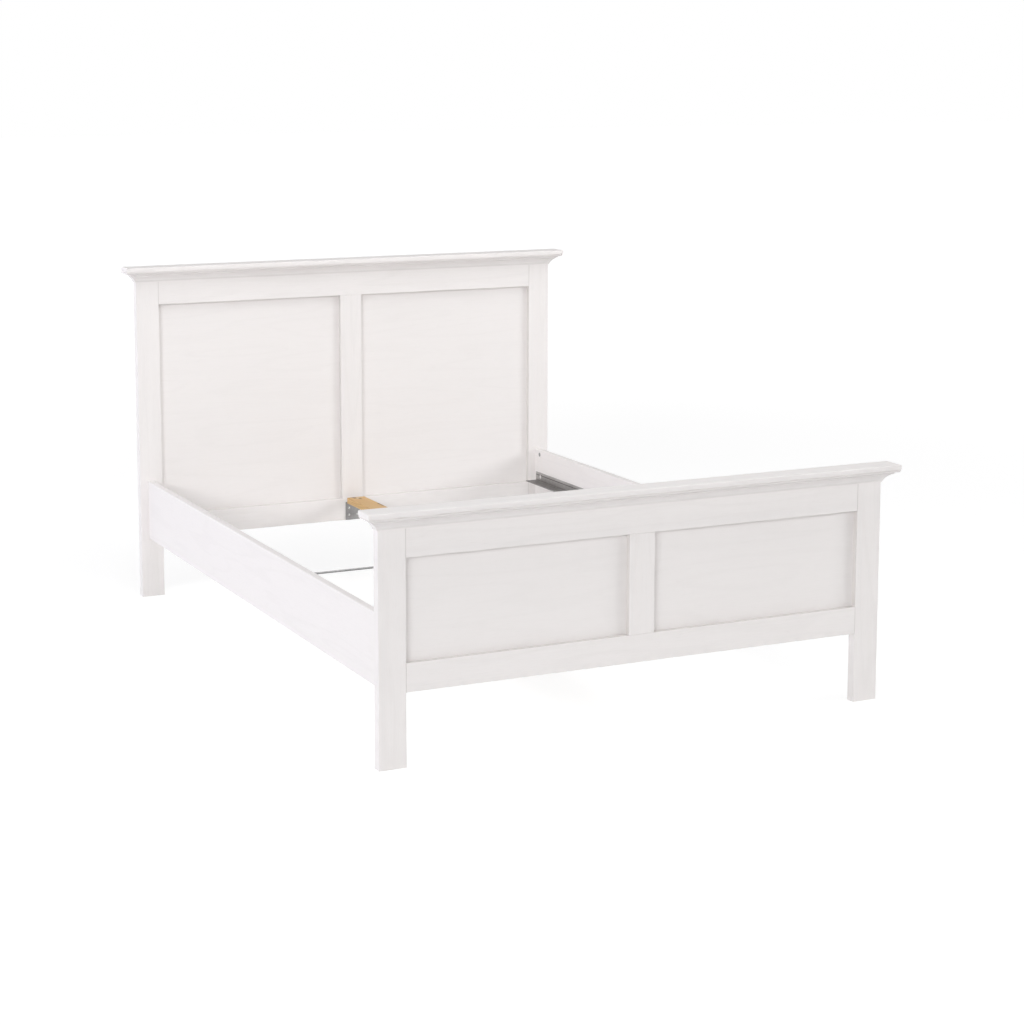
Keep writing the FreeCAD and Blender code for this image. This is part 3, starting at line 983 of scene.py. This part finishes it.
@dataclass(frozen=True)
class BeamBolt:
    """Flush bolt with a hexagon socket and a thread at its end."""

    head_radius: float = 6.0 * MM
    head_height: float = 3.0 * MM
    shank_radius: float = 2.9 * MM
    socket_across: float = 4.0 * MM
    socket_depth: float = 2.2 * MM
    pitch: float = 1.0 * MM
    thread_depth: float = 0.35 * MM
    thread_length: float = 12.0 * MM

    def make(self, length: float) -> BMesh:
        """Builds the bolt.

        Args:
            length: Whole length.

        Returns:
            The bolt.
        """
        socket = self.socket_across / 2
        shank = self.shank_radius
        start = length - self.thread_length
        profile = [
            (0.0, -self.socket_depth - 0.5 * MM),
            (socket, -self.socket_depth),
            (socket, -0.25 * MM),
            (socket + 0.35 * MM, 0.0),
            (self.head_radius - 0.5 * MM, 0.0),
            (self.head_radius, -0.4 * MM),
            (self.head_radius, -self.head_height + 0.3 * MM),
            (shank, -self.head_height),
            (shank, -start),
        ]
        turn = ((shank - self.thread_depth, 0.5), (shank, 1.0))
        profile += thread(start, length - 1.2 * self.pitch, self.pitch, turn)
        profile += [(shank - 0.6 * MM, -length), (0.0, -length)]
        shape = turned(profile)
        make_hexagonal(shape, socket, self.socket_across)
        return shape


@dataclass(frozen=True)
class HexNut:
    """Nut with chamfered corners round its thread."""

    across_flats: float
    hole_radius: float
    chamfer_share: float = 0.12

    def make(self, length: float) -> BMesh:
        """Builds the nut.

        Args:
            length: Height of the nut.

        Returns:
            The nut.
        """
        flat = self.across_flats / 2
        corner = flat * 1.12
        chamfer = self.chamfer_share * length
        upper = [
            (self.hole_radius, -chamfer),
            (self.hole_radius + chamfer, 0.0),
            (flat * 0.97, 0.0),
            (corner, -chamfer),
        ]
        shape = turned(both_ends(upper, length), closed=True)
        make_hexagonal(shape, corner, self.across_flats)
        return shape


@dataclass(frozen=True)
class CamDrum:
    """Cast cam drum with a cross recess and a chamfered rim."""

    radius: float = 7.4 * MM
    dish: float = 0.5 * MM
    recess_depth: float = 3.2 * MM

    def make(self, length: float) -> BMesh:
        """Builds the drum.

        Args:
            length: Depth of the drum.

        Returns:
            The drum.
        """
        shape = crossed_top(self.radius * 0.86, 0.0, self.recess_depth)
        bmesh.ops.translate(shape, vec=(0, 0, -self.dish), verts=shape.verts)
        rim = [(self.radius * 0.90, -0.05 * MM), (self.radius * 0.96, 0.0), (self.radius, -0.4 * MM)]
        waist = self.radius * 0.80
        outline = [(self.radius, 0.24), (waist, 0.27), (waist, 0.74), (self.radius, 0.77)]
        rings = rim + [(radius, -length * share) for radius, share in outline]
        rings.append((self.radius, -length))
        return drawn_down(shape, rings)


@dataclass(frozen=True)
class CamBolt:
    """Bolt that the cam pulls: ball head, neck, shank, collar and coarse post thread."""

    shank_radius: float = 3.5 * MM
    neck_radius: float = 2.2 * MM
    neck_foot: float = 6.5 * MM
    root_share: float = 0.68
    thread_length: float = 20.0 * MM
    pitch: float = 2.0 * MM

    def make(self, length: float) -> BMesh:
        """Builds the bolt.

        Args:
            length: Whole length.

        Returns:
            The bolt.
        """
        wide = self.shank_radius
        start = length - self.thread_length
        profile = [
            (0.0, 0.0),
            (wide * 0.55, -0.2 * MM),
            (wide * 0.95, -1.4 * MM),
            (wide * 0.95, -2.2 * MM),
            (self.neck_radius, -3.4 * MM),
            (self.neck_radius, -self.neck_foot),
            (wide, -self.neck_foot - 1.5 * MM),
            (wide, -start + 0.5 * MM),
        ]
        turn = ((wide * self.root_share, 0.3), (wide, 0.75))
        profile += thread(start, length - 1.5 * self.pitch, self.pitch, turn)
        profile += [(wide * 0.5, -length), (0.0, -length)]
        return turned(profile, SLIM_TURNING_STEPS)


@dataclass(frozen=True)
class FlutedDowel:
    """Hardwood dowel with glue flutes and chamfered ends."""

    radius: float = 4.0 * MM
    flute_depth: float = 0.25 * MM
    chamfer: float = 1.0 * MM

    def make(self, length: float) -> BMesh:
        """Builds the dowel.

        Args:
            length: Whole length.

        Returns:
            The dowel.
        """
        end = self.radius - self.chamfer
        upper = [(0.0, 0.0), (end, 0.0), (self.radius, -self.chamfer)]
        shape = turned(both_ends(upper, length), FLUTED_TURNING_STEPS)
        step = FULL_TURN / FLUTED_TURNING_STEPS
        for vert in shape.verts:
            full = vert.co.xy.length > end + MERGE_DISTANCE
            if full and round(math.atan2(vert.co.y, vert.co.x) / step) % 2:
                vert.co.xy *= 1 - self.flute_depth / self.radius
        return shape


@dataclass(frozen=True)
class ThreadedRod:
    """Tie rod with rolled threads and chamfered ends."""

    radius: float = 3.5 * MM
    thread_depth: float = 0.4 * MM
    pitch: float = 1.0 * MM
    thread_length: float = 34.0 * MM

    def make(self, length: float) -> BMesh:
        """Builds the rod.

        Args:
            length: Whole length.

        Returns:
            The rod.
        """
        root = self.radius - self.thread_depth
        turn = ((self.radius, 0.0), (root, 0.5))
        upper = [(0.0, 0.0), (root, 0.0)]
        upper += thread(0.6 * self.pitch, self.thread_length, self.pitch, turn)
        upper.append((self.radius, -self.thread_length - self.pitch))
        return turned(both_ends(upper, length), SLIM_TURNING_STEPS)


# Sub-assemblies


@dataclass(frozen=True)
class EndFrame:
    """Headboard or footboard: posts, rails and stile round two panels, under a crown."""

    end: str
    board_edge: float = 1.3 * MM
    crown_edge: float = 1.1 * MM
    boards: tuple[str, ...] = ("left_post", "right_post", "top_rail", "bottom_rail", "center_stile")

    def build(self, workshop: Workshop) -> None:
        """Dresses the frame.

        Args:
            workshop: Makes and dresses the pieces.
        """
        opening = self._opening()
        for board in self.boards:
            workshop.eased(f"{self.end}_{board}", self.board_edge, detail=opening)
        workshop.eased(f"{self.end}_top_board", self.crown_edge, detail=Quirk())
        workshop.dress(f"{self.end}_front_cove", "white_cove_crosswise")
        for side in SIDES:
            workshop.dress(f"{self.end}_{side}_panel")
            workshop.dress(f"{self.end}_{side}_cove", "white_cove_lengthwise")

    def _opening(self) -> Opening:
        """Finds the opening between the boards.

        Returns:
            The opening.
        """
        left, right, upper, lower = [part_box(f"{self.end}_{board}") for board in self.boards[:4]]
        low = Vector((left[1][0], left[0][1], lower[1][2]))
        high = Vector((right[0][0], left[1][1], upper[0][2]))
        return Opening(low, high, lower[0][2])


@dataclass(frozen=True)
class SideRails:
    """Both side rails with the cams, bolts and dowels that hold them to the posts."""

    rail_edge: float = 1.1 * MM

    def build(self, workshop: Workshop) -> None:
        """Dresses the rails and their fixings.

        Args:
            workshop: Makes and dresses the pieces.
        """
        for side in SIDES:
            workshop.eased(f"{side}_side_rail", self.rail_edge)
        workshop.repeated("rail_cams", Facing.ACROSS, CamDrum().make)
        workshop.repeated("rail_cam_bolts", Facing.ALONG, CamBolt().make)
        workshop.repeated("rail_dowels", Facing.ALONG, FlutedDowel().make)


@dataclass(frozen=True)
class SlatLedges:
    """Steel ledges along the rails, with the screws that hold them."""

    sheet_edge: float = 0.35 * MM

    def build(self, workshop: Workshop) -> None:
        """Dresses the ledges.

        Args:
            workshop: Makes and dresses the pieces.
        """
        for side in SIDES:
            workshop.eased(f"{side}_slat_ledge", self.sheet_edge, shortest=SHORTEST_OF_SHEET)
        workshop.repeated("ledge_screws", Facing.ACROSS, WoodScrew().make)


@dataclass(frozen=True)
class MiddleBeam:
    """Middle beam on its brackets and leg."""

    timber_edge: float = 1.0 * MM
    sheet_edge: float = 0.4 * MM
    nut: HexNut = HexNut(10.0 * MM, 3.0 * MM)

    def build(self, workshop: Workshop) -> None:
        """Dresses the beam, its leg and its fixings.

        Args:
            workshop: Makes and dresses the pieces.
        """
        workshop.eased("center_beam", self.timber_edge)
        workshop.eased("center_leg", self.timber_edge, "bare_timber_upright")
        workshop.dress("center_leg_glide")
        for end in ENDS:
            bracket = f"{end}_beam_bracket"
            workshop.eased(bracket, self.sheet_edge, "zinc_steel_bracket", SHORTEST_OF_SHEET)
        workshop.repeated("bracket_screws", Facing.ALONG, WoodScrew().make)
        workshop.repeated("beam_bolts", Facing.UP, BeamBolt().make)
        workshop.repeated("beam_nuts", Facing.UP, self.nut.make)
        workshop.repeated("leg_screws", Facing.UP, FlushScrew().make)


@dataclass(frozen=True)
class TieRod:
    """Thin steel rod that ties the rails together at mid-length, with its two nuts."""

    nut: HexNut = HexNut(11.0 * MM, 3.5 * MM)

    def build(self, workshop: Workshop) -> None:
        """Dresses the rod and its nuts."""
        workshop.repeated("cross_rod", Facing.ACROSS, ThreadedRod().make, "rod_steel")
        workshop.repeated("rod_nuts", Facing.ACROSS, self.nut.make)


# Studio


@dataclass(frozen=True)
class SoftLamp:
    """Large soft lamp that is aimed at a point."""

    name: str
    place: Triple
    aim: Triple
    width: float
    height: float
    power: float
    colour: Colour = (1.0, 1.0, 1.0)

    def hang(self) -> None:
        """Adds the lamp."""
        data = bpy.data.lights.new(self.name, "AREA")
        data.shape = "RECTANGLE"
        data.size, data.size_y = self.width, self.height
        data.energy = self.power
        data.color = self.colour
        lamp = in_scene(data)
        lamp.location = self.place
        lamp.rotation_euler = (Vector(self.aim) - lamp.location).to_track_quat("-Z", "Y").to_euler()


@dataclass(frozen=True)
class Viewpoint:
    """Camera at the photograph's viewing angle."""

    place: Triple = (-2.869, -6.111, 1.805)
    turn: float = 25.48
    tilt: float = -8.29
    lens: float = 79.59
    film_width: float = 36.0
    shift: tuple[float, float] = (0.02, -0.13)
    farthest: float = 200.0

    def set_up(self) -> None:
        """Adds the camera and makes it the scene's."""
        data = bpy.data.cameras.new("viewpoint")
        data.sensor_width = self.film_width
        data.lens = self.lens
        data.shift_x, data.shift_y = self.shift
        data.clip_end = self.farthest
        camera = in_scene(data)
        camera.location = self.place
        camera.rotation_euler = (math.radians(90 + self.tilt), 0.0, math.radians(-self.turn))
        bpy.context.scene.camera = camera


@dataclass(frozen=True)
class Studio:
    """White room of soft light with a pale floor that keeps the bed's shadow."""

    floor_size: float = 80.0
    floor_drop: float = 0.4 * MM
    floor_colour: Colour = (0.93, 0.93, 0.93)
    floor_seen_colour: Colour = (0.3255, 0.3255, 0.3255)
    floor_glow: float = 0.80
    fade_start: float = 2.5
    fade_end: float = 9.0
    wall_light: float = 0.55
    lamps: tuple[SoftLamp, ...] = (
        SoftLamp("side_lamp", (-6.0, 1.6, 1.8), (0.0, 0.0, 0.4), 3.0, 2.4, 96.0, (0.86, 0.87, 1.0)),
        SoftLamp("left_lamp", (-8.0, -7.2, 3.4), (0.0, 0.0, 0.5), 5.0, 2.4, 418.0),
        SoftLamp("right_lamp", (7.5, -4.5, 3.0), (0.0, 1.0, 0.6), 4.0, 2.4, 250.0),
        SoftLamp("high_lamp", (0.0, -1.2, 5.0), (0.0, 0.6, 0.4), 3.0, 3.0, 100.0),
        SoftLamp("back_lamp", (-4.0, 8.5, 3.5), (0.0, 1.0, 0.5), 3.5, 2.4, 120.0),
    )

    def build(self) -> None:
        """Adds the floor, the room's light, the lamps and the camera."""
        self._lay_floor()
        self._light_room()
        for lamp in self.lamps:
            lamp.hang()
        Viewpoint().set_up()
        bpy.context.scene.view_settings.view_transform = "Standard"

    def _lay_floor(self) -> None:
        """Lays the floor, which is seen only from above and stays clear of the feet."""
        shape = bmesh.new()
        lowered = Matrix.Translation((0.0, 0.0, -self.floor_drop))
        bmesh.ops.create_grid(
            shape, x_segments=1, y_segments=1, size=self.floor_size / 2, matrix=lowered
        )
        mesh = mesh_of(shape, "studio_floor")
        shader = Shader(bpy.data.materials.new("studio_floor"))
        paint, shadow = [
            shader.value("BsdfDiffuse", None, {"Color": (*colour, 1.0)})
            for colour in (self.floor_colour, self.floor_seen_colour)
        ]
        fade = shader.places.length().ramp(self.fade_start, self.fade_end)
        strength = self.floor_glow + fade * (1.0 - self.floor_glow)
        glow = shader.value("Emission", None, {"Strength": strength})
        lit = shader.value("AddShader", None, {0: shadow, 1: glow})
        top = shader.value("MixShader", None, {0: shader.watched(), 1: paint, 2: lit})
        clear = shader.value("BsdfTransparent")
        below = shader.value("NewGeometry", output="Backfacing")
        surface = shader.value("MixShader", None, {0: below, 1: top, 2: clear})
        shader.node("OutputMaterial", None, {"Surface": surface})
        mesh.materials.append(shader.owner)
        floor = in_scene(mesh)

    def _light_room(self) -> None:
        """Fills the room with soft light from its walls and shows it as plain white."""
        shader = Shader(bpy.data.worlds.new("white_room"))
        bpy.context.scene.world = shader.owner
        upward = shader.value("TexCoord", output="Generated").scaled((0.0, 0.0, 1.0))
        walls, white = [
            shader.value("Background", None, {"Color": (1.0,) * 4, "Strength": strength})
            for strength in (self.wall_light, 1.0)
        ]
        light = shader.value("MixShader", None, {0: upward.length(), 1: walls})
        room = shader.value("MixShader", None, {0: shader.watched(), 1: light, 2: white})
        shader.node("OutputWorld", None, {"Surface": room})


# The first two knots sit on the beam's right edge near the headboard, where they also stand for
# painted shade along that edge.
BEAM_KNOTS_AND_EDGE_SHADE = (
    (0.031, 0.855, 0.280),
    (0.032, 0.828, 0.279),
    (-0.012, 0.986, 0.281),
    (0.002, 0.966, 0.285),
    (-0.018, -0.42, 0.279),
    (0.014, 0.21, 0.281),
)
COVE_BAND_HEIGHT = 4.0 * MM
# Painted shade along the foot of each cove, just above its band.
COVE_SHADE_LINES = tuple(
    LevelLine(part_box(f"{end}_front_cove")[0][2] + COVE_BAND_HEIGHT, 4.0 * MM, 0.45)
    for end in ENDS
)
LEDGE_SHELF, LEDGE_TOP = [corner[2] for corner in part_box("left_slat_ledge")]
# Painted shade on the ledges: a dark line under the rib and a broader one along the bend to the
# shelf.
LEDGE_SHADE_LINES = (
    LevelLine(LEDGE_TOP - 9.5 * MM, 2.4 * MM, 0.75),
    LevelLine(LEDGE_SHELF + 2.5 * MM, 6.0 * MM, 0.50),
)
FINISHES = (
    *(PaintedGrain(f"white_{run.name.lower()}", run) for run in Run),
    PaintedGrain("white_panel", Run.CROSSWISE, relief=0.6),
    PaintedGrain("white_cove_crosswise", Run.CROSSWISE, shade_lines=COVE_SHADE_LINES),
    PaintedGrain("white_cove_lengthwise", Run.LENGTHWISE, shade_lines=COVE_SHADE_LINES),
    RolledSteel(
        "zinc_steel", Run.LENGTHWISE, (0.52, 0.51, 0.505), (0.34, 0.332, 0.328), shade_lines=LEDGE_SHADE_LINES
    ),
    RolledSteel("zinc_steel_bracket", Run.CROSSWISE),
    SmallMetal("fixing_steel", (0.66, 0.66, 0.65), (0.46, 0.46, 0.455), 0.28, 0.0015),
    SmallMetal("rod_steel", (0.36, 0.36, 0.36), (0.22, 0.22, 0.22), 0.36, 0.0015),
    SmallMetal("cam_zinc", (0.52, 0.52, 0.51), (0.30, 0.30, 0.295), 0.45, 0.0011),
    BareTimber("bare_timber", Run.LENGTHWISE, (0.11, 0.0, 0.14), knots=BEAM_KNOTS_AND_EDGE_SHADE),
    BareTimber("bare_timber_upright", Run.UPRIGHT, (-0.07, 0.10, 0.0)),
    BareTimber("dowel_timber", Run.LENGTHWISE, (0.70, 0.0, 0.25), ring_width=0.0016),
    MouldedPlastic("glide_plastic"),
)


def main() -> None:
    """Builds the sub-assemblies in order, then the studio."""
    logging.basicConfig(level=logging.INFO, format="%(message)s")
    workshop = Workshop({finish.name: finish.make() for finish in FINISHES})
    ends = [EndFrame(end) for end in ENDS]
    for assembly in (*ends, SideRails(), SlatLedges(), MiddleBeam(), TieRod()):
        before = len(workshop.pieces)
        assembly.build(workshop)
        for piece in workshop.pieces[before:]:
            log.info("%s: %s", type(assembly).__name__, piece)
    Studio().build()
    log.info("Studio is ready, round %d pieces", len(workshop.pieces))


if __name__ == "__main__":
    main()
